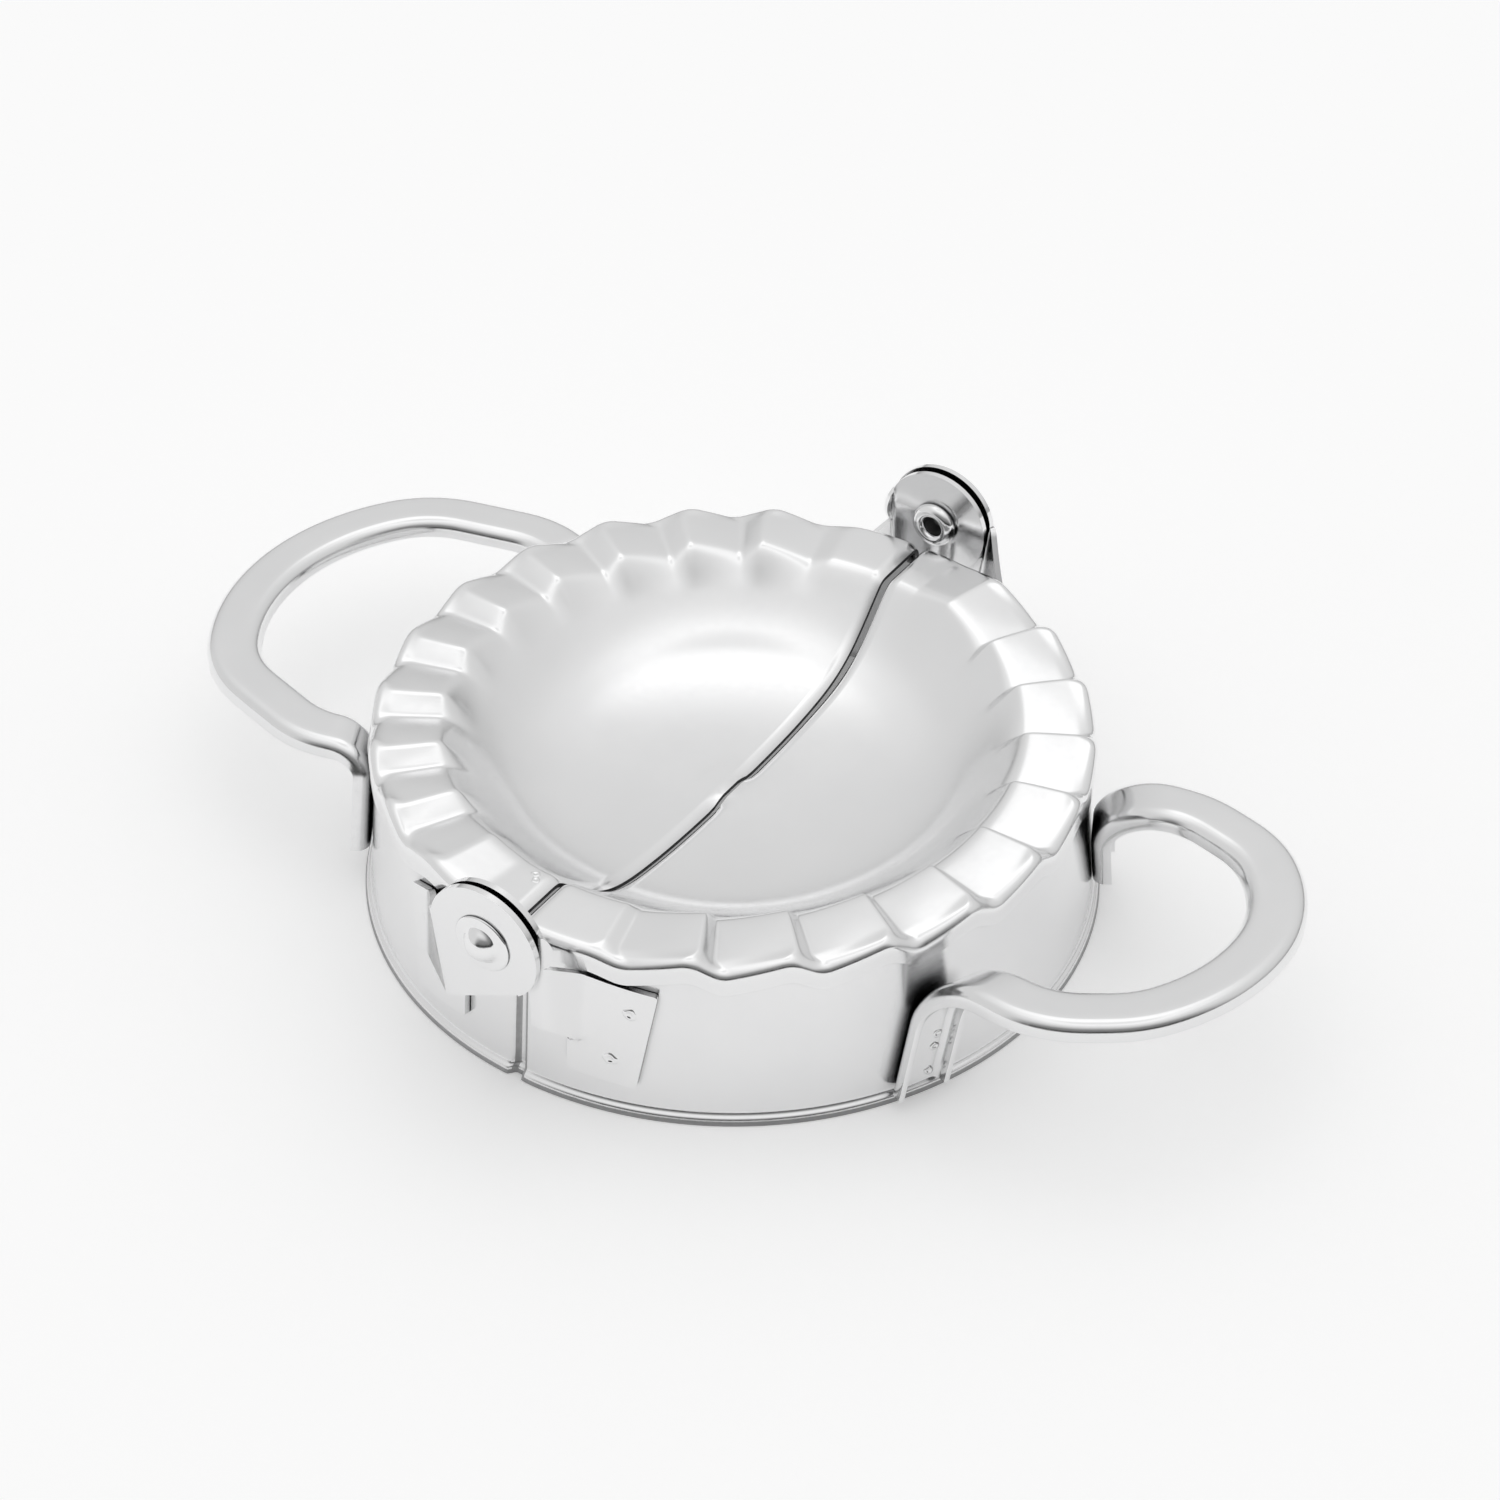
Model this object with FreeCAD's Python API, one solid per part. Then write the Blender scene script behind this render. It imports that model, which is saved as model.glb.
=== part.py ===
import FreeCAD, Part
import math
import os

os.makedirs("parts", exist_ok=True)

# Empanada press of pressed stainless sheet, lying open on its two cutter skirts.
# Millimetres. +X runs to the right handle, +Y along the fold line to the far hinge, +Z up.
# The origin is the middle of the base, on the table.
# Both halves are the same stamping turned half a turn about Z, so each sub-part is drawn
# once for the half at +X and turned for the other.

V = FreeCAD.Vector
ORIGIN = V(0, 0, 0)
UP = V(0, 0, 1)
ALONG_FOLD = V(0, 1, 0)
OUTWARD = V(1, 0, 0)

# Press plates
plate_radius = 47.5
plate_thickness = 0.6
rim_height = 24.9
seam_half_gap = 0.25
rim_width = 7.0
bowl_depth = 11.9
# Bowl section from the flat middle to the rim, as shares of its radius and depth.
bowl_section_shares = (
    (0.15, 1.0),
    (0.30, 0.987),
    (0.47, 0.933),
    (0.617, 0.849),
    (0.728, 0.697),
    (0.815, 0.445),
    (0.864, 0.269),
    (0.914, 0.118),
    (0.953, 0.042),
    (1.0, 0.0),
)
edge_radius = 1.5
lip_drop = 3.4
crimp_height = 0.9
crimp_pitch_deg = 15.0
crimps_per_half = 10
crimp_reach = 5.0
crimp_run = 3.0
left_crimp_fall_deg = 6.0
right_crimp_fall_deg = 3.6
angle_step_deg = 1.25

# Cutter skirts
skirt_thickness = 0.6
skirt_fit = 0.3
skirt_top_drop = 2.3
skirt_flare = 1.9
skirt_near_half_gap = 1.3
skirt_far_half_gap = 0.35
hem_flare = 1.3
hem_height = 1.7
hem_edge = 0.7

# Hinges
pivot_rise = 1.3
hinge_standoff = 5.9
leaf_thickness = 0.8
ear_spacing = 0.5
outer_ear_radius = 8.0
inner_ear_radius = 7.8
seat_clearance = 0.12
turn_clearance = 0.05
side_clearance = 0.1
foot_outer_reach = 18.8
foot_lower_reach = 16.8
foot_step_reach = 7.9
foot_bend_reach = 10.0
foot_bottom = 4.7
foot_step_height = 9.9
foot_outside_drop = 5.3
foot_bend_drop = 4.0
web_bottom_foot = 10.6
web_bottom_ear = 14.0
inner_neck_reach = 7.2
inner_neck_width = 1.8
inner_neck_drop = 1.9
outer_fold_top_reach = 8.1
outer_fold_bottom_reach = 6.3
outer_fold_rise = 1.3
outer_web_foot_reach = 13.4
outer_tangent_reach = 4.9
outer_tangent_drop = 6.1

# Hinge rivets
rivet_shank_radius = 2.0
rivet_head_radius = 4.0
rivet_head_edge = 0.5
rivet_head_height = 1.4
rivet_crown_radius = 1.5
rivet_crown_height = 2.1
rivet_tail_radius = 3.3
rivet_tail_height = 1.7
rivet_bore_radius = 1.3
rivet_bore_depth = 2.4

# Handles: a channel strip bent to a loop, with one leg at each end on the skirt
strip_width = 7.3
strip_depth = 2.7
strip_thickness = 0.8
strip_fold_radius = 1.1
strip_inner_fold_radius = 0.4
loop_reach = 29.0
side_ease_radius = 14.0
section_spacing = 1.6
# The two loops are bent by hand and stand a little differently.
left_handle_drop = 5.5
right_near_handle_drop = 3.2
right_far_handle_drop = 1.5
left_leg_bottom = 5.0
right_near_leg_bottom = 2.0
right_far_leg_bottom = 3.9
left_bend_radius = 5.0
right_bend_radius = 10.2
left_leg_angle_deg = 34.2
right_leg_angle_deg = 28.3
left_lift_deg = 1.2
right_near_lift_deg = 4.6
right_far_lift_deg = 1.6
left_loop_skew_deg = 1.3
right_loop_skew_deg = 2.5
left_leg_lean_deg = 16.0
right_near_leg_lean_deg = 14.0
right_far_leg_lean_deg = 20.0
left_side_angle_deg = 14.8
right_near_side_angle_deg = 29.0
right_far_side_angle_deg = 16.7
left_corner_radius = 15.6
right_near_corner_radius = 15.0
right_far_corner_radius = 13.5
left_crown_angle_deg = 36.0
right_near_crown_angle_deg = 36.0
right_far_crown_angle_deg = 45.0
# The loop lifts and skews from just inside the plate's edge, and more on one side than on the other.
loop_lift_inset = 3.5
loop_blend_reach = 20.0

cut_margin = 5.0

# Values that follow from the sizes above
bowl_radius = plate_radius - rim_width
crimp_inner_radius = bowl_radius - crimp_reach
crimp_fall_deg = {"left": left_crimp_fall_deg, "right": right_crimp_fall_deg}
skirt_top_radius = plate_radius - plate_thickness - skirt_fit
skirt_top_height = rim_height - skirt_top_drop
skirt_base_radius = skirt_top_radius + skirt_flare
hem_radius = skirt_base_radius + hem_flare
skirt_slope = (skirt_base_radius - skirt_top_radius) / (skirt_top_height - hem_height)
hinge_reach = plate_radius + hinge_standoff
outer_ear_face = hinge_reach
outer_ear_back = outer_ear_face - leaf_thickness
inner_ear_face = outer_ear_back - ear_spacing
inner_ear_back = inner_ear_face - leaf_thickness
pivot_height = rim_height + pivot_rise
foot_top_outside = rim_height - foot_outside_drop
foot_top_bend = rim_height - foot_bend_drop
inner_neck_top = pivot_height - inner_neck_drop
outer_fold_top = pivot_height + outer_fold_rise
outer_tangent_height = pivot_height - outer_tangent_drop
handle_reach = plate_radius + loop_reach
handle_span = handle_reach + strip_width
handle_drops = {
    "left": (left_handle_drop, left_handle_drop),
    "right": (right_near_handle_drop, right_far_handle_drop),
}
handle_height = {side: rim_height - near for side, (near, far) in handle_drops.items()}
far_leg_rise = {side: near - far for side, (near, far) in handle_drops.items()}
bend_radius = {"left": left_bend_radius, "right": right_bend_radius}
leg_angle_deg = {"left": left_leg_angle_deg, "right": right_leg_angle_deg}
loop_lift = {
    "left": (math.tan(math.radians(left_lift_deg)), math.tan(math.radians(left_lift_deg))),
    "right": (math.tan(math.radians(right_near_lift_deg)), math.tan(math.radians(right_far_lift_deg))),
}
loop_skew = {
    "left": math.tan(math.radians(left_loop_skew_deg)),
    "right": math.tan(math.radians(right_loop_skew_deg)),
}
loop_lift_start = plate_radius - loop_lift_inset
left_bends = (
    left_leg_bottom,
    left_leg_lean_deg,
    left_side_angle_deg,
    left_corner_radius,
    left_crown_angle_deg,
)
# Leg end, leg lean, side angle, corner radius and crown angle of the near and far half of each loop.
near_and_far_bends = {
    "left": (left_bends, left_bends),
    "right": (
        (
            right_near_leg_bottom,
            right_near_leg_lean_deg,
            right_near_side_angle_deg,
            right_near_corner_radius,
            right_near_crown_angle_deg,
        ),
        (
            right_far_leg_bottom,
            right_far_leg_lean_deg,
            right_far_side_angle_deg,
            right_far_corner_radius,
            right_far_crown_angle_deg,
        ),
    ),
}


def skirt_radius(height):
    """Outer radius of the skirt wall at a height, about the centre of its own half."""
    return skirt_top_radius + (skirt_top_height - height) * skirt_slope


def smooth(value):
    """Eases a value from 0 to 1."""
    value = min(1.0, max(0.0, value))
    return value * value * (3.0 - 2.0 * value)


def crimp_wave(angle_deg, fall_deg):
    """Height of the pleats from -1 to 1: each rises slowly and falls quickly at a multiple of the pitch."""
    end = crimp_pitch_deg * crimps_per_half / 2
    half_fall = fall_deg / 2
    if abs(angle_deg) >= end + half_fall:
        return 0.0
    if angle_deg < -end + half_fall:
        return -smooth((angle_deg + end + half_fall) / fall_deg)
    if angle_deg > end - half_fall:
        return 1.0 - smooth((angle_deg - end + half_fall) / fall_deg)
    phase = (angle_deg + end) % crimp_pitch_deg
    if phase < half_fall:
        return -2.0 * (smooth((phase + half_fall) / fall_deg) - 0.5)
    if phase > crimp_pitch_deg - half_fall:
        return 1.0 - 2.0 * smooth((phase - crimp_pitch_deg + half_fall) / fall_deg)
    return 2.0 * (phase - half_fall) / (crimp_pitch_deg - fall_deg) - 1.0


def plate_section():
    """Radius and height along the plate's upper side, from the flat middle to the foot of its lip."""
    points = []
    for radius_share, depth_share in bowl_section_shares:
        points.append((radius_share * bowl_radius, rim_height - depth_share * bowl_depth))
    edge_centre = plate_radius - edge_radius
    for step in (1, 2, 3):
        points.append((bowl_radius + (edge_centre - bowl_radius) * step / 3, rim_height))
    for step in range(1, 7):
        turn = math.radians(15 * step)
        radius = edge_centre + edge_radius * math.sin(turn)
        height = rim_height - edge_radius * (1 - math.cos(turn))
        points.append((radius, height))
    for step in (1, 2, 3):
        height = rim_height - edge_radius - (lip_drop - edge_radius) * step / 3
        points.append((plate_radius, height))
    return points


def offset_section(points, distance):
    """The section moved below and inside by a distance, square to its own line."""
    moved = []
    last = len(points) - 1
    for index, (radius, height) in enumerate(points):
        before = points[max(0, index - 1)]
        after = points[min(last, index + 1)]
        run = after[0] - before[0]
        rise = after[1] - before[1]
        if index == 0:
            run, rise = 1, 0
        if index == last:
            run, rise = 0, -1
        length = math.hypot(run, rise)
        moved.append((radius + rise / length * distance, height - run / length * distance))
    return moved


def smooth_surface(rows, degree):
    """Smooth surface over rows of guide points, with the given degree along each row."""
    knots = []
    for count, power in ((len(rows), 3), (len(rows[0]), degree)):
        spans = count - power
        ends = [power + 1]
        knots.append((ends + [1] * (spans - 1) + ends, [span / spans for span in range(spans + 1)]))
    (u_mults, u_knots), (v_mults, v_knots) = knots
    surface = Part.BSplineSurface()
    surface.buildFromPolesMultsKnots(rows, u_mults, v_mults, u_knots, v_knots, False, False, 3, degree)
    return surface


def sewn_solid(faces):
    """One solid from faces that meet all round."""
    shell = Part.makeShell(faces)
    shell.sewShape()
    solid = Part.makeSolid(shell)
    solid.fix(1e-6, 1e-6, 1e-6)
    return solid


def crimped_surface(section, side):
    """Surface swept by the section through half a turn, with the pleats in its rim and lip."""
    rows = []
    steps = int(round(180 / angle_step_deg))
    for step in range(steps + 1):
        angle = -90 + angle_step_deg * step
        wave = crimp_wave(angle, crimp_fall_deg[side])
        turn = math.radians(angle)
        row = []
        for radius, height in section:
            grow = smooth((radius - crimp_inner_radius) / crimp_run)
            lifted = height + crimp_height * wave * grow
            row.append(V(radius * math.cos(turn), radius * math.sin(turn), lifted))
        rows.append(row)
    return smooth_surface(rows, 3)


def press_plate(side):
    """Half plate with its half bowl, pleated rim and turned-down lip."""
    section = plate_section()
    upper = crimped_surface(section, side)
    lower = crimped_surface(offset_section(section, plate_thickness), side)
    faces = []
    border = []
    rings = []
    for surface in (upper, lower):
        u_start, u_end, v_start, v_end = surface.bounds()
        middle_ring = surface.vIso(v_start).toShape()
        middle_ends = [surface.value(turn, v_start) for turn in (u_start, u_end)]
        middle_line = Part.LineSegment(*middle_ends).toShape()
        faces.append(surface.toShape())
        faces.append(Part.Face(Part.Wire([middle_ring, middle_line])))
        rings.append(surface.vIso(v_end).toShape())
        border.append(surface.uIso(u_start).toShape())
        border.append(middle_line)
        border.append(surface.uIso(u_end).toShape())
    for end in (0, 1):
        points = []
        for surface in (upper, lower):
            u_start, u_end, v_start, v_end = surface.bounds()
            points.append(surface.value((u_start, u_end)[end], v_end))
        border.append(Part.LineSegment(points[0], points[1]).toShape())
    faces.append(Part.makeRuledSurface(rings[0], rings[1]))
    faces.append(Part.Face(Part.Wire(Part.__sortEdges__(border))))
    solid = sewn_solid(faces)
    solid.translate(V(seam_half_gap, 0, 0))
    return solid


def polygon_face(points):
    """Flat face with straight sides through the points."""
    return Part.Face(Part.makePolygon(list(points) + [points[0]]))


def revolved(section, centre, axis, start, sweep_deg):
    """Closed section turned about an axis from its own plane."""
    solid = polygon_face(section).revolve(centre, axis, sweep_deg)
    if start:
        solid.rotate(centre, axis, start)
    return solid


def beyond_plane(reach):
    """Large block that holds everything farther out than a plane x = reach."""
    size = 2 * handle_span
    return Part.makeBox(size, size, size, V(reach, -handle_span, -handle_span))


def cutter_skirt():
    """Half-round wall under the plate, with a hem turned out at the cutting edge."""
    inner_hem = hem_radius - skirt_thickness - hem_edge
    section = [
        V(skirt_top_radius, 0, skirt_top_height),
        V(skirt_radius(hem_height), 0, hem_height),
        V(hem_radius - hem_edge / 2, 0, hem_edge + skirt_thickness / 2),
        V(hem_radius, 0, hem_edge),
        V(hem_radius, 0, 0),
        V(inner_hem, 0, 0),
        V(inner_hem, 0, hem_edge),
        V(skirt_radius(hem_height) - skirt_thickness, 0, hem_height),
        V(skirt_top_radius - skirt_thickness, 0, skirt_top_height),
    ]
    wall = revolved(section, ORIGIN, UP, -90, 180)
    wall.translate(V(seam_half_gap, 0, 0))
    wall = wall.common(beyond_plane(skirt_far_half_gap))
    slit = Part.makeBox(skirt_near_half_gap, handle_span, handle_span, V(0, -handle_span, -cut_margin))
    return wall.cut(slit)


def skirt_core():
    """Solid cone of the skirt's outside with the seat clearance, used to trim what lies on it."""
    low = -cut_margin
    high = skirt_top_height + cut_margin
    bottom = skirt_radius(low) + seat_clearance
    top = skirt_radius(high) + seat_clearance
    return Part.makeCone(bottom, top, high - low, V(seam_half_gap, 0, low))


def on_fold_side(points):
    """Prism along the fold line whose outline is drawn in x and z, on the near side of the press."""
    outline = polygon_face([V(x, -hinge_reach - cut_margin, z) for x, z in points])
    return outline.extrude(V(0, hinge_reach + cut_margin, 0))


def leaf_foot(outline):
    """Part of a hinge leaf that lies on the skirt, cut to its outline."""
    low = 0
    high = skirt_top_height
    inner = seat_clearance
    outer = seat_clearance + leaf_thickness
    section = [
        V(skirt_radius(low) + inner, 0, low),
        V(skirt_radius(low) + outer, 0, low),
        V(skirt_radius(high) + outer, 0, high),
        V(skirt_radius(high) + inner, 0, high),
    ]
    band = revolved(section, ORIGIN, UP, -90, 90)
    band.translate(V(seam_half_gap, 0, 0))
    return band.common(on_fold_side(outline))


def leaf_web(ear_face, ear_reaches, ear_heights, foot_reach, foot_heights):
    """Slanted strip between the ear, which stands clear of the press, and the foot on the skirt."""
    foot_y = -math.sqrt(skirt_top_radius ** 2 - foot_reach ** 2)
    ends = []
    for reaches, heights, face in (
        (ear_reaches, ear_heights, -ear_face),
        ((foot_reach, foot_reach), foot_heights, foot_y - leaf_thickness),
    ):
        corners = [
            V(reaches[0], face, heights[0]),
            V(reaches[1], face, heights[1]),
            V(reaches[1], face + leaf_thickness, heights[1]),
            V(reaches[0], face + leaf_thickness, heights[0]),
        ]
        ends.append(Part.makePolygon(corners + [corners[0]]))
    return Part.makeLoft(ends, True, True)


def ear_disc(radius, face):
    """Round sheet about the pivot, its outer face at a distance from the middle of the press."""
    return Part.makeCylinder(radius, leaf_thickness, V(0, -face, pivot_height), ALONG_FOLD)


def sheet_outline(points, face):
    """Flat sheet across the fold line with an outline in x and z."""
    return polygon_face([V(x, -face, z) for x, z in points]).extrude(V(0, leaf_thickness, 0))


def pivot_hole():
    """Clearance hole for the rivet through both ears."""
    radius = rivet_shank_radius + turn_clearance
    start = V(0, -hinge_reach - cut_margin, pivot_height)
    return Part.makeCylinder(radius, 2 * cut_margin, start, ALONG_FOLD)


def foot_outline(bend_reach):
    """Outline of the foot with its step at the fold line's side."""
    return [
        (foot_outer_reach, foot_top_outside),
        (foot_lower_reach, foot_bottom),
        (foot_step_reach, foot_bottom + leaf_thickness),
        (foot_step_reach, foot_step_height),
        (foot_step_reach + leaf_thickness, web_bottom_foot),
        (bend_reach - leaf_thickness, web_bottom_foot),
        (bend_reach - leaf_thickness, foot_top_bend),
    ]


def inner_leaf():
    """Leaf of the half at +X on the near hinge, with the ear next to the press."""
    foot = leaf_foot(foot_outline(foot_bend_reach))
    web = leaf_web(
        inner_ear_face,
        (inner_neck_reach, inner_neck_reach),
        (web_bottom_ear, inner_neck_top),
        foot_bend_reach,
        (web_bottom_foot, foot_top_bend),
    )
    neck_side = inner_neck_reach - inner_neck_width
    neck = sheet_outline(
        [
            (neck_side, web_bottom_ear),
            (inner_neck_reach, web_bottom_ear),
            (inner_neck_reach, inner_neck_top),
            (neck_side, inner_neck_top),
        ],
        inner_ear_face,
    )
    ear = ear_disc(inner_ear_radius, inner_ear_face)
    arm = web.cut(skirt_core())
    return foot.fuse([arm, neck, ear]).cut(pivot_hole()).removeSplitter()


def outer_leaf():
    """Leaf of the half at -X on the near hinge, with the ear outside, drawn mirrored at +X."""
    foot = leaf_foot(foot_outline(outer_web_foot_reach))
    web = leaf_web(
        outer_ear_face,
        (outer_fold_bottom_reach, outer_fold_top_reach),
        (web_bottom_ear, outer_fold_top),
        outer_web_foot_reach,
        (web_bottom_foot, foot_top_bend),
    )
    fold = (outer_fold_top_reach - outer_fold_bottom_reach) / (outer_fold_top - web_bottom_ear)
    high = pivot_height + outer_ear_radius + leaf_thickness
    high_reach = outer_fold_top_reach + (high - outer_fold_top) * fold
    trimmed = sheet_outline(
        [
            (outer_fold_bottom_reach, web_bottom_ear),
            (high_reach, high),
            (-outer_ear_radius - leaf_thickness, high),
            (-outer_ear_radius - leaf_thickness, outer_tangent_height),
            (-outer_tangent_reach, outer_tangent_height),
        ],
        outer_ear_face,
    )
    below = sheet_outline(
        [
            (outer_fold_bottom_reach, web_bottom_ear),
            (outer_fold_top_reach, outer_fold_top),
            (0, pivot_height),
            (-outer_tangent_reach, outer_tangent_height),
        ],
        outer_ear_face,
    )
    ear = ear_disc(outer_ear_radius, outer_ear_face).fuse(below).common(trimmed)
    arm = web.cut(skirt_core())
    return foot.fuse([arm, ear]).cut(pivot_hole()).removeSplitter()


def turned_about_pivot(section):
    """Solid of the section, given as radius and distance out from the inner ear's back, about the pivot."""
    points = [V(radius, -inner_ear_back - out, pivot_height) for radius, out in section]
    solid = polygon_face(points).revolve(V(0, 0, pivot_height), ALONG_FOLD, 360)
    return solid


def hinge_rivet(head_gap, tail_gap):
    """Rivet through both ears: domed head outside, hollow flared tail inside."""
    stack = 2 * leaf_thickness + ear_spacing
    head = stack + head_gap
    tail = -tail_gap
    section = [
        (0, tail - rivet_tail_height + rivet_bore_depth),
        (0, head + rivet_crown_height),
        (rivet_crown_radius * 0.6, head + rivet_crown_height),
        (rivet_crown_radius, head + rivet_head_height),
        (rivet_head_radius * 0.75, head + (rivet_head_edge + rivet_head_height) / 2),
        (rivet_head_radius, head + rivet_head_edge),
        (rivet_head_radius, head),
        (rivet_shank_radius, head),
        (rivet_shank_radius, tail),
        (rivet_tail_radius, tail),
        (rivet_tail_radius, tail - rivet_tail_height * 0.4),
        (rivet_tail_radius * 0.85, tail - rivet_tail_height * 0.85),
        (rivet_tail_radius * 0.65, tail - rivet_tail_height),
        (rivet_bore_radius, tail - rivet_tail_height * 0.7),
        (rivet_bore_radius, tail - rivet_tail_height + rivet_bore_depth),
    ]
    return turned_about_pivot(section)


def strip_outline():
    """Channel section as lines and folds: places across the strip and down from its web's outer face."""
    half = strip_width / 2
    inner = half - strip_thickness
    fold = strip_fold_radius
    inside = strip_inner_fold_radius
    web = strip_thickness
    edges = [
        ((-half, strip_depth), (-half, fold)),
        ((-half, fold), (-half, 0), (fold - half, 0)),
        ((fold - half, 0), (half - fold, 0)),
        ((half - fold, 0), (half, 0), (half, fold)),
        ((half, fold), (half, strip_depth)),
        ((half, strip_depth), (inner, strip_depth)),
        ((inner, strip_depth), (inner, web + inside)),
        ((inner, web + inside), (inner, web), (inner - inside, web)),
        ((inner - inside, web), (inside - inner, web)),
        ((inside - inner, web), (-inner, web), (-inner, web + inside)),
        ((-inner, web + inside), (-inner, strip_depth)),
        ((-inner, strip_depth), (-half, strip_depth)),
    ]
    return edges


def steps_for(length):
    """Number of equal steps that a length of the strip is drawn with."""
    return max(3, int(math.ceil(length / section_spacing)))


def level_run(place, start, end, radius):
    """Places and directions along a level arc that turns from one heading to another."""
    side = 1 if end > start else -1
    steps = steps_for(radius * abs(end - start))
    run = []
    for step in range(1, steps + 1):
        heading = start + (end - start) * step / steps
        x = place.x + side * radius * (math.sin(heading) - math.sin(start))
        y = place.y - side * radius * (math.cos(heading) - math.cos(start))
        run.append((V(x, y, place.z), V(math.cos(heading), math.sin(heading), 0), UP))
    return run


def half_handle_run(side, bends, rise):
    """Places, directions and face normals of the strip from a leg's foot to the crown, as on the near side.

    All of it is drawn at the near leg's height. Rise is how much higher this leg really stands.
    """
    leg_bottom, lean_deg, level_deg, corner, crown_deg = bends
    leg_angle = math.radians(leg_angle_deg[side])
    lean = math.radians(lean_deg)
    level_angle = math.radians(level_deg)
    crown_angle = math.radians(crown_deg)
    height = handle_height[side]
    radius = bend_radius[side]
    cone = math.atan(skirt_slope)
    away = V(math.cos(leg_angle), -math.sin(leg_angle), 0)
    tangent = V(-math.sin(leg_angle), -math.cos(leg_angle), 0)
    bend = math.pi / 2 - cone
    up_wall = UP * math.cos(cone) - away * math.sin(cone)
    up_leg = up_wall * math.cos(lean) - tangent * math.sin(lean)
    leg_normal = UP * math.cos(bend) - away * math.sin(bend)
    foot_radius = skirt_radius(leg_bottom) + seat_clearance
    foot = V(seam_half_gap, 0, leg_bottom - rise) + away * foot_radius
    leg_top = height - radius * (1 - math.cos(bend))
    leg_length = (leg_top - leg_bottom + rise) / up_leg.z
    run = []
    leg_steps = steps_for(leg_length)
    for step in range(leg_steps):
        run.append((foot + up_leg * (leg_length * step / leg_steps), up_leg, leg_normal))
    bend_start = foot + up_leg * leg_length
    bend_centre = bend_start - leg_normal * radius
    bend_steps = steps_for(bend * radius)
    for step in range(bend_steps + 1):
        turn = bend * (1 - step / bend_steps)
        normal = UP * math.cos(turn) - away * math.sin(turn)
        drift = (bend - turn) * radius / math.cos(lean) * math.sin(lean)
        place = bend_centre - tangent * drift + normal * radius
        ahead = (UP * math.sin(turn) + away * math.cos(turn)) * math.cos(lean)
        run.append((place, ahead - tangent * math.sin(lean), normal))
    place, ahead, normal = run[-1]
    heading = math.atan2(ahead.y, ahead.x)
    run += level_run(place, heading, level_angle, side_ease_radius)
    place = run[-1][0]
    # The straight length and the crown radius are what closes the loop at the middle.
    turn_end = math.pi / 2 - crown_angle
    need_x = handle_reach - place.x - corner * (math.sin(turn_end) - math.sin(level_angle))
    need_y = -place.y - corner * (math.cos(level_angle) - math.cos(turn_end))
    a, b = math.cos(level_angle), 1 - math.cos(crown_angle)
    c, d = math.sin(level_angle), math.sin(crown_angle)
    straight = (need_x * d - need_y * b) / (a * d - b * c)
    crown_radius = (a * need_y - c * need_x) / (a * d - b * c)
    direction = V(math.cos(level_angle), math.sin(level_angle), 0)
    straight_steps = steps_for(straight)
    for step in range(1, straight_steps + 1):
        run.append((place + direction * (straight * step / straight_steps), direction, UP))
    run += level_run(run[-1][0], level_angle, turn_end, corner)
    run += level_run(run[-1][0], turn_end, math.pi / 2, crown_radius)
    return run, leg_steps


def lifted(point, side):
    """Place of a point of the strip once the far leg is raised and the loop is bent up and aside."""
    beyond = max(0.0, point.x - loop_lift_start)
    far_share = smooth((point.y + loop_blend_reach) / (2 * loop_blend_reach))
    near_lift, far_lift = loop_lift[side]
    near_rise = near_lift * beyond
    far_rise = far_leg_rise[side] + far_lift * beyond
    return point + V(0, loop_skew[side] * beyond, near_rise + (far_rise - near_rise) * far_share)


def leg_cut_level(rows, count, leg_bottom):
    """Rows of points with the first ones, along the straight leg, spread from a level cut at its foot."""
    top = rows[count]
    foot = []
    for high, low in zip(top, rows[0]):
        foot.append(high + (low - high) * ((high.z - leg_bottom) / (high.z - low.z)))
    leg = []
    for step in range(count):
        leg.append([low + (high - low) * (step / count) for low, high in zip(foot, top)])
    return leg + rows[count:]


def handle(side):
    """Loop handle of channel strip with a leg at each end against the skirt."""
    near_bends, far_bends = near_and_far_bends[side]
    run, near_leg_steps = half_handle_run(side, near_bends, 0)
    far, far_leg_steps = half_handle_run(side, far_bends, far_leg_rise[side])
    for place, ahead, normal in reversed(far[:-1]):
        back = V(-ahead.x, ahead.y, -ahead.z)
        run.append((V(place.x, -place.y, place.z), back, V(normal.x, -normal.y, normal.z)))
    faces = []
    caps = [[], []]
    for edge in strip_outline():
        rows = []
        for place, ahead, normal in run:
            across = ahead.cross(normal)
            rows.append([lifted(place + across * aside - normal * down, side) for aside, down in edge])
        rows = leg_cut_level(rows, near_leg_steps, near_bends[0])
        rows = leg_cut_level(rows[::-1], far_leg_steps, far_bends[0])[::-1]
        surface = smooth_surface(rows, len(edge) - 1)
        u_start, u_end, v_start, v_end = surface.bounds()
        faces.append(surface.toShape())
        caps[0].append(surface.uIso(u_start).toShape())
        caps[1].append(surface.uIso(u_end).toShape())
    for cap in caps:
        faces.append(Part.Face(Part.Wire(Part.__sortEdges__(cap))))
    return sewn_solid(faces)


def other_half(shape):
    """The same sub-part on the opposite half of the press."""
    turned = shape.copy()
    turned.rotate(ORIGIN, UP, 180)
    return turned


def mirrored_across_fold(shape):
    """The sub-part seen in a mirror on the fold line."""
    return shape.mirror(ORIGIN, OUTWARD)


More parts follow.
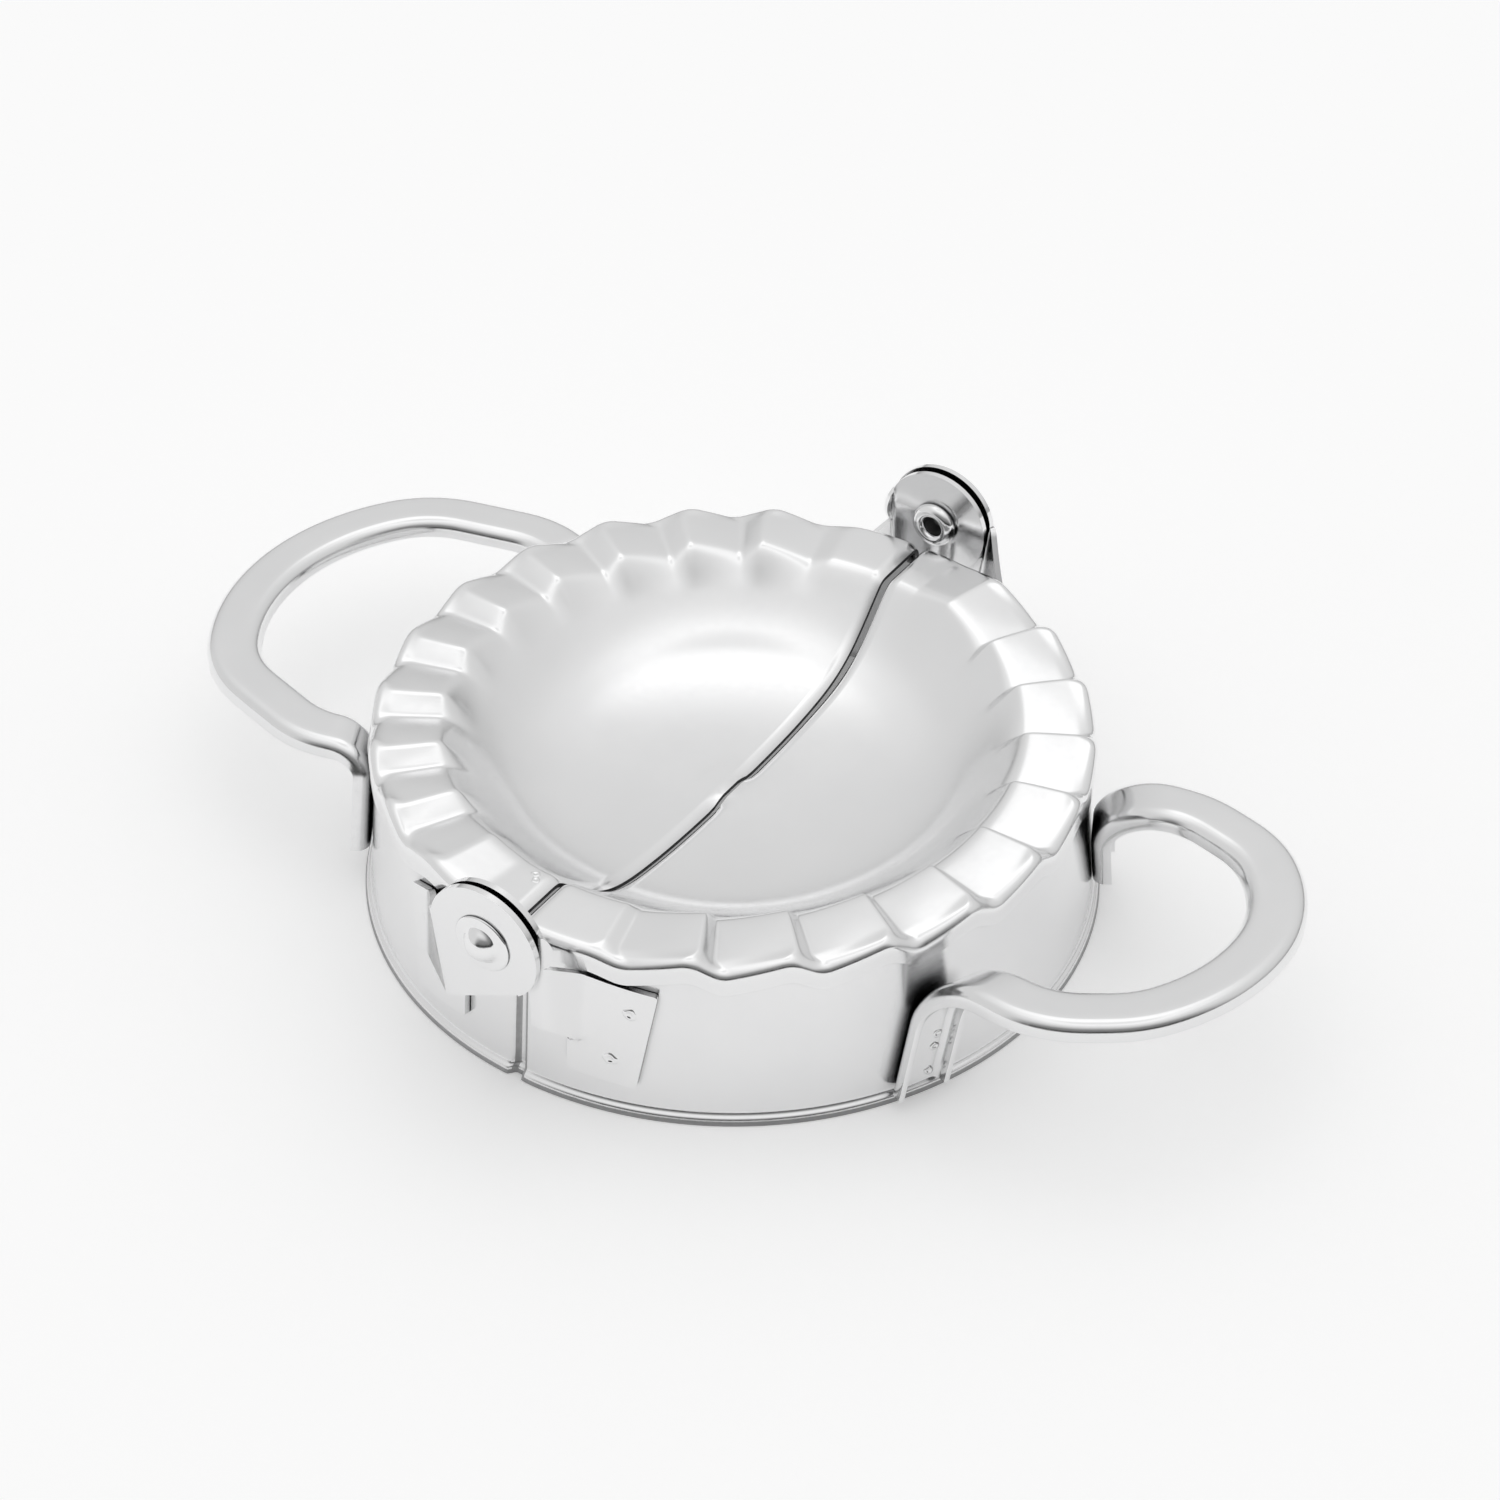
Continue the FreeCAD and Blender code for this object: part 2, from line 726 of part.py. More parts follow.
parts = {
    "right_press_plate": press_plate("right"),
    "left_press_plate": other_half(press_plate("left")),
    "right_cutter_skirt": cutter_skirt(),
    "left_cutter_skirt": other_half(cutter_skirt()),
    "right_handle": handle("right"),
    "left_handle": other_half(handle("left")),
    "near_right_hinge_leaf": inner_leaf(),
    "near_left_hinge_leaf": mirrored_across_fold(outer_leaf()),
    "far_left_hinge_leaf": other_half(inner_leaf()),
    "far_right_hinge_leaf": other_half(mirrored_across_fold(outer_leaf())),
    "near_hinge_rivet": hinge_rivet(0, side_clearance),
    "far_hinge_rivet": other_half(hinge_rivet(side_clearance, 0)),
}

for name, shape in parts.items():
    shape.exportStep("parts/" + name + ".step")
    box = shape.BoundBox
    print(
        name,
        "solids", len(shape.Solids),
        "valid", shape.isValid(),
        "volume", round(shape.Volume, 1),
        "x", round(box.XMin, 1), round(box.XMax, 1),
        "y", round(box.YMin, 1), round(box.YMax, 1),
        "z", round(box.ZMin, 1), round(box.ZMax, 1),
    )
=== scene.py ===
import bpy
import bmesh
import math
import numpy as np
from mathutils import Matrix, Vector
from mathutils.bvhtree import BVHTree


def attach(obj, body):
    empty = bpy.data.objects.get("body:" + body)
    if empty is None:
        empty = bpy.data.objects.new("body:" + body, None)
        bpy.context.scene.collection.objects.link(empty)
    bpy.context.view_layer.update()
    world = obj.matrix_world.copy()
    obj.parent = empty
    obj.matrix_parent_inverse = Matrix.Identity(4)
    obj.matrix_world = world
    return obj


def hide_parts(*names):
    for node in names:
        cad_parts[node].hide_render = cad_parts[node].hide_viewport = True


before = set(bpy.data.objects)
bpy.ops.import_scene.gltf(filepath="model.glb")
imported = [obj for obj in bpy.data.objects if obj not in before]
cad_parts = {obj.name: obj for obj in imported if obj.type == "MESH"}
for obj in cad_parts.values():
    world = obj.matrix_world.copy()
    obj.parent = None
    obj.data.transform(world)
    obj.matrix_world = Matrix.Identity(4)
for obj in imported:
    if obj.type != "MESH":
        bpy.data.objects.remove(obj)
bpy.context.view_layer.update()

# Sizes are in millimetres and angles in degrees. The looks and the camera are in metres.
MM = 0.001
UP = Vector((0, 0, 1))
SIDES = ("left", "right")

# Sizes shared with the solids
plate_radius = 47.5
plate_thickness = 0.6
rim_height = 24.9
seam_half_gap = 0.25
bowl_radius = 40.5
bowl_depth = 11.9
edge_radius = 1.5
lip_drop = 3.4
crimp_height = 0.9
crimp_pitch = 15.0
crimp_end = 75.0
skirt_thickness = 0.6
skirt_top_radius = 46.6
skirt_top_height = 22.6
skirt_base_radius = 48.5
skirt_near_half_gap = 1.3
hem_height = 1.7
skirt_slope = (skirt_base_radius - skirt_top_radius) / (skirt_top_height - hem_height)
pivot_height = 26.2
outer_ear_face = 53.4
leaf_thickness = 0.8
ear_spacing = 0.5
inner_ear_face = outer_ear_face - leaf_thickness - ear_spacing
seat_clearance = 0.12
# The inner ears stand a little further back than the solids, so that the gap shows.
ear_set_back = 0.4


# Shared shapes


def smooth(value):
    value = np.clip(value, 0.0, 1.0)
    return value * value * (3.0 - 2.0 * value)


def soft_high(a, b, width):
    """The higher of two values with the bend between them rounded."""
    return 0.5 * (a + b + np.sqrt((a - b) ** 2 + width * width))


def soft_low(a, b, width):
    """The lower of two values with the bend between them rounded."""
    return 0.5 * (a + b - np.sqrt((a - b) ** 2 + width * width))


def spline_weights(count, samples):
    """Weights of the guide points at evenly spaced places of a smooth open curve."""
    knots = np.concatenate([np.zeros(3), np.linspace(0.0, 1.0, count - 2), np.ones(3)])
    places = np.linspace(0.0, 1.0, samples)
    weights = np.zeros((samples, len(knots) - 1))
    for index in range(len(knots) - 1):
        weights[:, index] = (places >= knots[index]) & (places < knots[index + 1])
    for power in (1, 2, 3):
        lifted = np.zeros_like(weights)
        for index in range(len(knots) - 1 - power):
            first = knots[index + power] - knots[index]
            second = knots[index + power + 1] - knots[index + 1]
            if first > 0:
                lifted[:, index] += (places - knots[index]) / first * weights[:, index]
            if second > 0:
                after = knots[index + power + 1] - places
                lifted[:, index] += after / second * weights[:, index + 1]
        weights = lifted
    weights = weights[:, :count]
    weights[-1, :] = 0.0
    weights[-1, count - 1] = 1.0
    return weights


def rounded(points, radius, steps=4):
    """Open outline with its corners rounded."""
    points = [np.array(point, dtype=float) for point in points]
    result = [points[0]]
    for point, last, following in zip(points[1:-1], points, points[2:]):
        before = last - point
        after = following - point
        reach = min(radius, 0.45 * np.linalg.norm(before), 0.45 * np.linalg.norm(after))
        first = point + before / np.linalg.norm(before) * reach
        second = point + after / np.linalg.norm(after) * reach
        for step in range(steps + 1):
            t = step / steps
            result.append((1 - t) ** 2 * first + 2 * t * (1 - t) * point + t * t * second)
    result.append(points[-1])
    return result


def arc_points(centre, radius, start, end, steps):
    """Points of an arc, with its angles from +x towards the falling side."""
    result = []
    for step in range(steps + 1):
        turn = math.radians(start + (end - start) * step / steps)
        result.append((centre[0] + radius * math.cos(turn), centre[1] - radius * math.sin(turn)))
    return result


def turned(points):
    """The same points on the other half of the press."""
    return [(-x, -y, z) for x, y, z in points]


def swept_faces(rows, count):
    """Faces of a closed outline carried through rows of points, with one over each end last."""
    faces = []
    for row in range(rows - 1):
        for k in range(count):
            a = row * count + k
            b = row * count + (k + 1) % count
            faces.append((a, b, b + count, a + count))
    faces.append(list(range(count))[::-1])
    faces.append([(rows - 1) * count + k for k in range(count)])
    return faces


def spun_faces(steps, count, start=0):
    """Faces of an open outline turned once round its axis."""
    faces = []
    for step in range(steps):
        for k in range(count - 1):
            a = start + step * count + k
            c = start + ((step + 1) % steps) * count + k
            faces.append((a, a + 1, c + 1, c))
    return faces


def make_piece(name, points, faces, body, nodes, slot, sharp=32.0, cut_and_shade_faces=(), edge=None):
    """A piece from points in millimetres, whose listed faces take the darker second material:
    cut-edge colour, and painted shade.
    """
    mesh = bpy.data.meshes.new(name)
    mesh.from_pydata([(x * MM, y * MM, z * MM) for x, y, z in points], [], faces)
    for index in cut_and_shade_faces:
        mesh.polygons[index].material_index = 1
    work = bmesh.new()
    work.from_mesh(mesh)
    bmesh.ops.remove_doubles(work, verts=work.verts, dist=1e-7)
    bmesh.ops.dissolve_degenerate(work, edges=work.edges, dist=1e-8)
    bmesh.ops.recalc_face_normals(work, faces=work.faces)
    work.to_mesh(mesh)
    work.free()
    mesh.polygons.foreach_set("use_smooth", [True] * len(mesh.polygons))
    mesh.set_sharp_from_angle(angle=math.radians(sharp))
    piece = bpy.data.objects.new(name, mesh)
    bpy.context.collection.objects.link(piece)
    piece.data.materials.append(materials[slot])
    piece.data.materials.append(edge or cut_edge_and_shade_steel)
    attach(piece, body)
    if nodes:
        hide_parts(*nodes)
    return piece


# Materials


def add_node(tree, kind, inputs=None, **settings):
    """A shader node with its settings, and with a value or a link on each named input."""
    node = tree.nodes.new("ShaderNode" + kind)
    for key, value in settings.items():
        setattr(node, key, value)
    for key, value in (inputs or {}).items():
        if isinstance(value, bpy.types.NodeSocket):
            tree.links.new(value, node.inputs[key])
        else:
            node.inputs[key].default_value = value
    return node


def mixed(tree, share, first, second):
    """The colour between two others, by a share from 0 to 1."""
    inputs = {"Factor": share, "A": first, "B": second}
    return add_node(tree, "Mix", inputs, data_type="RGBA").outputs["Result"]


def grey(level):
    return (level, level, level, 1.0)


def polished_steel(
    name, tone, roughness, grain_scale, grain_depth,
    stretch=(1.0, 1.0, 1.0), crevice_shade=0.3, bent=1.0, reach=0.0022,
):
    """Polished sheet: clouding, fine polishing marks, small ripples and painted shade in crevices.

    The mesh attribute "bent" marks where painted shade takes the tone down to the share given as
    bent.
    Shade is painted into crevices, darker where another surface is nearer than reach.
    """
    material = bpy.data.materials.new(name)
    material.use_nodes = True
    tree = material.node_tree
    place = add_node(tree, "TexCoord").outputs["Object"]
    stretched = add_node(tree, "Mapping", {"Vector": place, "Scale": stretch}).outputs["Vector"]

    cloud = add_node(tree, "TexNoise", {"Vector": place, "Scale": 55.0, "Detail": 4.0})
    tint = add_node(tree, "ValToRGB", {"Fac": cloud.outputs["Fac"]})
    dark, light = tint.color_ramp.elements
    dark.position = 0.3
    dark.color = (tone - 0.025, tone - 0.024, tone - 0.02, 1.0)
    light.position = 0.72
    light.color = (tone + 0.012, tone + 0.012, tone + 0.014, 1.0)
    # Painted shade: where the mesh attribute "bent" is set, the tone goes down to the share given
    # as bent.
    web_shade_share = add_node(tree, "Attribute", attribute_name="bent").outputs["Fac"]
    web_shade_tone = (tone * bent, tone * bent, tone * bent * 1.01, 1.0)
    sheet = mixed(tree, web_shade_share, tint.outputs["Color"], web_shade_tone)
    # Painted shade: the colour goes towards the crevice tone where another surface is nearer than
    # reach.
    near = add_node(tree, "AmbientOcclusion", {"Distance": reach}, samples=8).outputs["AO"]
    open_share = add_node(tree, "MapRange", {"Value": near, "From Min": 0.1, "From Max": 0.8})
    shaded = (crevice_shade, crevice_shade, crevice_shade * 1.02, 1.0)
    crevice_shaded = mixed(tree, open_share.outputs["Result"], shaded, sheet)

    marks = add_node(tree, "TexNoise", {
        "Vector": stretched, "Scale": grain_scale, "Detail": 5.0, "Roughness": 0.6,
    }).outputs["Fac"]
    gloss = add_node(tree, "MapRange", {
        "Value": marks, "From Min": 0.3, "From Max": 0.7,
        "To Min": roughness * 0.75, "To Max": roughness * 1.3,
    })
    ripple = add_node(tree, "TexNoise", {"Vector": place, "Scale": 160.0, "Detail": 1.0})
    relief = add_node(tree, "Math", {
        0: marks, 1: 0.25, 2: ripple.outputs["Fac"],
    }, operation="MULTIPLY_ADD")
    bump = add_node(tree, "Bump", {
        "Height": relief.outputs["Value"], "Strength": grain_depth, "Distance": 0.0002,
    })

    shader = tree.nodes["Principled BSDF"]
    shader.inputs["Metallic"].default_value = 1.0
    shader.inputs["Specular IOR Level"].default_value = 0.5
    tree.links.new(crevice_shaded, shader.inputs["Base Color"])
    tree.links.new(gloss.outputs["Result"], shader.inputs["Roughness"])
    tree.links.new(bump.outputs["Normal"], shader.inputs["Normal"])
    return material


# Each finish carries painted shade in its crevices, down to the crevice tone given.
materials = {
    "plate_steel": polished_steel("plate_steel", 0.86, 0.17, 900.0, 0.05),
    "skirt_steel": polished_steel(
        "skirt_steel", 0.84, 0.18, 700.0, 0.05, stretch=(1.0, 1.0, 4.0), crevice_shade=0.1, reach=0.0026,
    ),
    "handle_steel": polished_steel(
        "handle_steel", 0.83, 0.16, 800.0, 0.06, crevice_shade=0.2, reach=0.0035,
    ),
    "leaf_steel": polished_steel("leaf_steel", 0.85, 0.15, 900.0, 0.05, crevice_shade=0.15, bent=0.42),
    "rivet_steel": polished_steel("rivet_steel", 0.86, 0.12, 1200.0, 0.07),
}
# Second material: a darker colour for the sheet's cut edges, also used as painted shade on the
# skirts and inside the rivet bore.
cut_edge_and_shade_steel = polished_steel("cut_edge_and_shade_steel", 0.4, 0.4, 1500.0, 0.3, crevice_shade=0.12)
# Near-black material on the plates' seam faces: painted shadow in the seam gap.
seam_shadow_steel = polished_steel("seam_shadow_steel", 0.12, 0.45, 1500.0, 0.3, crevice_shade=0.03)


# Press plates

# Bowl section from the middle to the rim, as shares of its radius and depth. The bend to the
# flat rim is crisper here than in the solids.
bowl_shares = (
    (0.15, 1.0), (0.30, 0.987), (0.47, 0.933), (0.617, 0.845), (0.728, 0.665), (0.815, 0.395),
    (0.859, 0.245), (0.886, 0.15), (0.905, 0.086), (0.919, 0.042), (0.934, 0.011),
    (0.954, 0.0), (1.0, 0.0),
)
middle_radii = (1.7, 2.6, 3.8, 5.0)
section_samples = 110
ring_steps = 640
# The pleats rise from the bowl's wall at the rim bend and run out over the rounded edge.
rim_bend_radius = 37.3
rim_bend_slope = 0.98
rim_bend_width = 0.75
wall_crimp_share = 0.35
wall_crimp_radius = 33.5
wall_crimp_run = 3.5
crimp_fall = {"left": 4.2, "right": 2.1}
crimp_round = {"left": 0.75, "right": 0.35}
crimp_fall_edge = {"left": 7.0, "right": 4.6}
crimp_last_fall = 8.5
# The tiles between the folds swell a little, from the rim bend to the edge.
crimp_pillow = 0.13
pillow_radius = 37.5
pillow_run = 8.0
edge_start_radius = 44.6
edge_run = 2.4
lip_wave_gain = 0.2
# The cut edges roll down along the seam, which is a little wider towards the far hinge.
roll_width = 1.5
roll_depth = 0.75
roll_places = np.array([0.0, 0.1, 0.25, 0.45, 0.7]) * roll_width
roll_start_radius = 1.6
roll_start_run = 3.0
seam_opening = 0.1
seam_far_opening = 0.22
seam_far_start = 12.0
seam_far_run = 26.0
seam_opening_run = 7.0


def sawtooth(angle, fall):
    """Sharp pleats from -1 to 1: a slow rise, then a quick fall at each multiple of the pitch."""
    half = fall / 2
    phase = np.mod(angle + crimp_end, crimp_pitch)
    rise = 2.0 * (phase - half) / (crimp_pitch - fall) - 1.0
    early = -2.0 * phase / fall
    late = 2.0 * (crimp_pitch - phase) / fall
    wave = np.where(phase < half, early, np.where(phase > crimp_pitch - half, late, rise))
    first = -np.clip((angle + crimp_end + half) / fall, 0, 1)
    wave = np.where(angle < -crimp_end + half, first, wave)
    last = 1.0 - np.clip((angle - crimp_end + half) / crimp_last_fall, 0, 1)
    return np.where(angle > crimp_end - half, last, wave)


def crimp_wave(angle, fall, turn):
    """The pleats with their crests and folds rounded over an angle each way."""
    return sum(sawtooth(angle + turn * step / 6, fall) for step in range(-6, 7)) / 13


def plate_guides():
    """Guide points of the plate's upper section: bowl, rim, rounded edge and lip."""
    points = []
    for radius_share, depth_share in bowl_shares:
        points.append((radius_share * bowl_radius, rim_height - depth_share * bowl_depth))
    edge_centre = plate_radius - edge_radius
    for step in (1, 2, 3):
        points.append((bowl_radius + (edge_centre - bowl_radius) * step / 3, rim_height))
    for step in range(1, 7):
        turn = math.radians(15 * step)
        height = rim_height - edge_radius * (1 - math.cos(turn))
        points.append((edge_centre + edge_radius * math.sin(turn), height))
    for step in (1, 2, 3):
        height = rim_height - edge_radius - (lip_drop - edge_radius) * step / 3
        points.append((plate_radius, height))
    return np.array(points)


def moved_inside(points, distance):
    """The section's points moved to the lower face of the sheet."""
    run = np.gradient(points, axis=0)
    run[0] = (1, 0)
    run[-1] = (0, -1)
    run /= np.linalg.norm(run, axis=1)[:, None]
    return points + distance * np.stack([run[:, 1], -run[:, 0]], axis=1)


def pleat_rise(side, radius, angle, edge):
    """Rise of one ring from its pleats, by the angle from the middle of the half."""
    fall = crimp_fall[side] + (crimp_fall_edge[side] - crimp_fall[side]) * edge
    wave = crimp_wave(angle, fall, crimp_round[side] + edge)
    wall = rim_bend_slope * (radius - rim_bend_radius)
    wall_start = smooth((radius - wall_crimp_radius) / wall_crimp_run)
    wall_wave = wall_crimp_share * crimp_height * wave * wall_start
    rim = soft_low(crimp_height * wave, wall + wall_wave, rim_bend_width)
    pleat = rim - soft_low(0.0, wall, rim_bend_width)
    bulge = math.sin(math.pi * min(1.0, max(0.0, (radius - pillow_radius) / pillow_run)))
    inside = smooth((crimp_end - np.abs(angle)) / crimp_pitch)
    pillow = crimp_pillow * bulge * inside * (1.0 - wave * wave)
    return pleat * (1.0 + lip_wave_gain * edge) + pillow


def plate_ring(side, radius, height, edge):
    """Points of one half ring, from the near end of the seam to the far one."""
    first = math.asin(roll_width / radius)
    seam = np.arcsin(roll_places / radius)
    between = np.linspace(first, math.pi - first, ring_steps + 1)
    angle = np.concatenate([seam, between, math.pi - seam[::-1]])
    x = radius * np.sin(angle)
    y = -radius * np.cos(angle)
    start = smooth((radius - roll_start_radius) / roll_start_run)
    roll = roll_depth * np.clip(1.0 - x / roll_width, 0.0, 1.0) ** 2 * start
    z = height + pleat_rise(side, radius, np.degrees(angle) - 90.0, edge) - roll
    toward_far = y if side == "right" else -y
    far_share = smooth((toward_far - seam_far_start) / seam_far_run)
    opening = seam_opening + seam_far_opening * far_share
    opening = opening * smooth(1.0 - x / seam_opening_run)
    return np.stack([x + seam_half_gap + opening, y, z], axis=1)


def press_plate(side):
    guides = plate_guides()
    weights = spline_weights(len(guides), section_samples)
    layers = []
    for section in (guides, moved_inside(guides, plate_thickness)):
        curve = weights @ section
        middle = [(radius, curve[0, 1]) for radius in middle_radii]
        curve = np.concatenate([middle, curve])
        along = np.concatenate([[0.0], np.cumsum(np.hypot(*np.diff(curve, axis=0).T))])
        start = along[np.argmax(curve[:, 0] > edge_start_radius)]
        to_edge = smooth((along - start) / edge_run)
        layers.append([plate_ring(side, *place, edge) for place, edge in zip(curve, to_edge)])
    layers = np.array(layers)
    rings, count = layers.shape[1:3]

    def up(ring, k):
        return ring * count + k

    def low(ring, k):
        return (rings + ring) * count + k

    faces = []
    seam_shadow_faces = []
    for i in range(rings - 1):
        for k in range(count - 1):
            faces.append((up(i, k), up(i + 1, k), up(i + 1, k + 1), up(i, k + 1)))
            faces.append((low(i, k), low(i, k + 1), low(i + 1, k + 1), low(i + 1, k)))
        # The seam's cut faces take a near-black second material: painted shadow in the seam gap.
        seam_shadow_faces += (len(faces), len(faces) + 1)
        end = count - 1
        faces.append((up(i, 0), low(i, 0), low(i + 1, 0), up(i + 1, 0)))
        faces.append((up(i, end), up(i + 1, end), low(i + 1, end), low(i, end)))
    rim = rings - 1
    for k in range(count - 1):
        faces.append((up(rim, k), low(rim, k), low(rim, k + 1), up(rim, k + 1)))
    faces.append([up(0, k) for k in range(count)])
    faces.append([low(0, k) for k in range(count)][::-1])
    seam_shadow_faces.append(len(faces))
    faces.append((up(0, 0), up(0, count - 1), low(0, count - 1), low(0, 0)))
    points = list(map(tuple, layers.reshape(-1, 3)))
    if side == "left":
        points = turned(points)
    return make_piece(
        side + "_plate_skin", points, faces, side + "_half", [side + "_press_plate"],
        "plate_steel", cut_and_shade_faces=seam_shadow_faces, edge=seam_shadow_steel,
    )


plates = {side: press_plate(side) for side in SIDES}


# Cutter skirts

# Radius and height of the hem, from its outer bend down to the table and up the inside.
hem_bend_height = 1.6
hem_profile = (
    (48.7, 1.25), (49.14, 0.95), (49.28, 0.62), (49.5, 0.1), (49.4, 0.0), (48.3, 0.0), (48.3, 0.5),
)
hem_rounding = 0.2
# The hem's lowest faces take the darker second material: the bottom is a bare cut edge, and the
# outer band just above it is painted shade where the hem meets the table.
hem_edge_radius = 48.9
hem_edge_height = 0.62
wall_steps = 24
long_wall = 3.0
skirt_steps = 480
# The near end is pulled in a little, and the far end steps in behind the other skirt's end.
near_end_inset = 0.12
near_end_run = 1.6
tab_reach = 1.1
tab_inset = 0.95
tab_start = 0.75
tab_run = 1.1
# A narrow line along the tab's bend takes the darker second material, as painted shade.
tab_bend = 0.1
tab_bend_reach = 0.25


def skirt_radius(height):
    return skirt_top_radius + (skirt_top_height - height) * skirt_slope


def skirt_outline():
    """Closed section of the skirt's wall and hem, as radius and height."""
    top = (skirt_top_radius - skirt_thickness / 2, skirt_top_height)
    corners = [
        top,
        (skirt_top_radius, skirt_top_height),
        (skirt_radius(hem_bend_height), hem_bend_height),
        *hem_profile,
        (skirt_radius(hem_height) - skirt_thickness, hem_height),
        (skirt_top_radius - skirt_thickness, skirt_top_height),
        top,
    ]
    outline = []
    for point in rounded(corners, hem_rounding)[:-1]:
        if outline and np.linalg.norm(point - outline[-1]) > long_wall:
            start = outline[-1]
            for step in range(1, wall_steps):
                outline.append(start + (point - start) * step / wall_steps)
        outline.append(point)
    return np.array(outline)


def cutter_skirt(side):
    outline = skirt_outline()
    count = len(outline)
    points = []
    for step in range(skirt_steps + 1):
        for radius, height in outline:
            near = math.asin((skirt_near_half_gap - seam_half_gap) / radius)
            far = math.asin((-tab_reach - seam_half_gap) / radius)
            angle = near + (math.pi - near - far) * step / skirt_steps
            x = radius * math.sin(angle)
            y = -radius * math.cos(angle)
            from_end = x + seam_half_gap - skirt_near_half_gap
            inset = near_end_inset * max(0.0, 1.0 - from_end / near_end_run) ** 2
            if y > 0:
                inset = tab_inset * float(smooth((tab_start - x) / tab_run))
            share = 1 - inset / radius
            points.append((x * share + seam_half_gap, y * share, height))
    faces = swept_faces(skirt_steps + 1, count)
    painted_dark = [len(faces) - 2, len(faces) - 1]
    # Painted shade: besides the cut end caps, a strip at the near end, a line along the tab's bend
    # and the hem's lowest band take the darker second material.
    for index, (x, y, _) in enumerate(points[:-count]):
        (radius, height), next_radius = outline[index % count], outline[(index + 1) % count][0]
        near_end = index < count
        bend = y > 0 and abs(x - seam_half_gap - tab_bend) < tab_bend_reach
        hem_cut_and_shade = min(radius, next_radius) > hem_edge_radius and height < hem_edge_height
        if near_end or bend or hem_cut_and_shade:
            painted_dark.append(index)
    if side == "left":
        points = turned(points)
    make_piece(
        side + "_skirt_wall", points, faces, side + "_half", [side + "_cutter_skirt"],
        "skirt_steel", cut_and_shade_faces=painted_dark,
    )


for side in SIDES:
    cutter_skirt(side)


# Handles

strip_width = 7.3
strip_depth = 2.7
strip_thickness = 0.8
strip_fold_radius = 1.7
strip_inner_fold_radius = 0.9
strip_lip_radius = 0.16
strip_side_share = 0.7
handle_reach = 76.5
side_ease_radius = 14.0
section_spacing = 1.6
handle_samples = 330
loop_lift_start = 44.0
loop_blend_reach = 20.0
# Height, bend radius, leg angle, rise of the far leg, lift near and far, and skew of each loop.
handle_stance = {
    "left": (19.4, 5.0, 34.2, 0.0, 1.2, 1.2, 1.3),
    "right": (21.7, 10.2, 28.3, 1.7, 4.6, 1.6, 2.5),
}
# Leg end, leg lean, side angle, corner radius and crown angle of the near and far half.
handle_bends = {
    "left": ((5.0, 16.0, 14.8, 15.6, 36.0), (5.0, 16.0, 14.8, 15.6, 36.0)),
    "right": ((2.0, 14.0, 29.0, 15.0, 36.0), (3.9, 20.0, 16.7, 13.5, 45.0)),
}


def steps_for(length):
    return max(3, int(math.ceil(length / section_spacing)))


def level_run(place, start, end, radius):
    """Places, directions and face normals along a level bend between two headings in radians."""
    side = 1 if end > start else -1
    steps = steps_for(radius * abs(end - start))
    run = []
    for step in range(1, steps + 1):
        heading = start + (end - start) * step / steps
        x = place.x + side * radius * (math.sin(heading) - math.sin(start))
        y = place.y - side * radius * (math.cos(heading) - math.cos(start))
        ahead = Vector((math.cos(heading), math.sin(heading), 0))
        run.append((Vector((x, y, place.z)), ahead, UP))
    return run


def half_handle_run(side, bends, rise):
    """Places, directions and face normals of the strip from a leg's foot to the crown."""
    leg_bottom, lean, level, corner, crown = bends
    height, radius, leg = handle_stance[side][:3]
    crown, leg, lean, level = (math.radians(value) for value in (crown, leg, lean, level))
    cone = math.atan(skirt_slope)
    away = Vector((math.cos(leg), -math.sin(leg), 0))
    tangent = Vector((-math.sin(leg), -math.cos(leg), 0))
    bend = math.pi / 2 - cone
    up_wall = UP * math.cos(cone) - away * math.sin(cone)
    up_leg = up_wall * math.cos(lean) - tangent * math.sin(lean)
    leg_normal = UP * math.cos(bend) - away * math.sin(bend)
    foot_radius = skirt_radius(leg_bottom) + seat_clearance
    foot = Vector((seam_half_gap, 0, leg_bottom - rise)) + away * foot_radius
    leg_top = height - radius * (1 - math.cos(bend))
    leg_length = (leg_top - leg_bottom + rise) / up_leg.z
    run = []
    leg_steps = steps_for(leg_length)
    for step in range(leg_steps):
        run.append((foot + up_leg * (leg_length * step / leg_steps), up_leg, leg_normal))
    centre = foot + up_leg * leg_length - leg_normal * radius
    bend_steps = steps_for(bend * radius)
    for step in range(bend_steps + 1):
        turn = bend * (1 - step / bend_steps)
        normal = UP * math.cos(turn) - away * math.sin(turn)
        drift = (bend - turn) * radius / math.cos(lean) * math.sin(lean)
        place = centre - tangent * drift + normal * radius
        ahead = (UP * math.sin(turn) + away * math.cos(turn)) * math.cos(lean)
        run.append((place, ahead - tangent * math.sin(lean), normal))
    place, ahead, normal = run[-1]
    heading = math.atan2(ahead.y, ahead.x)
    run += level_run(place, heading, level, side_ease_radius)
    place = run[-1][0]
    turn_end = math.pi / 2 - crown
    # The straight length and the crown radius are what closes the loop at the middle.
    need_x = handle_reach - place.x - corner * (math.sin(turn_end) - math.sin(level))
    need_y = -place.y - corner * (math.cos(level) - math.cos(turn_end))
    a, b = math.cos(level), 1 - math.cos(crown)
    c, d = math.sin(level), math.sin(crown)
    straight = (need_x * d - need_y * b) / (a * d - b * c)
    crown_radius = (a * need_y - c * need_x) / (a * d - b * c)
    direction = Vector((math.cos(level), math.sin(level), 0))
    straight_steps = steps_for(straight)
    for step in range(1, straight_steps + 1):
        run.append((place + direction * (straight * step / straight_steps), direction, UP))
    run += level_run(run[-1][0], level, turn_end, corner)
    run += level_run(run[-1][0], turn_end, math.pi / 2, crown_radius)
    return run, leg_steps


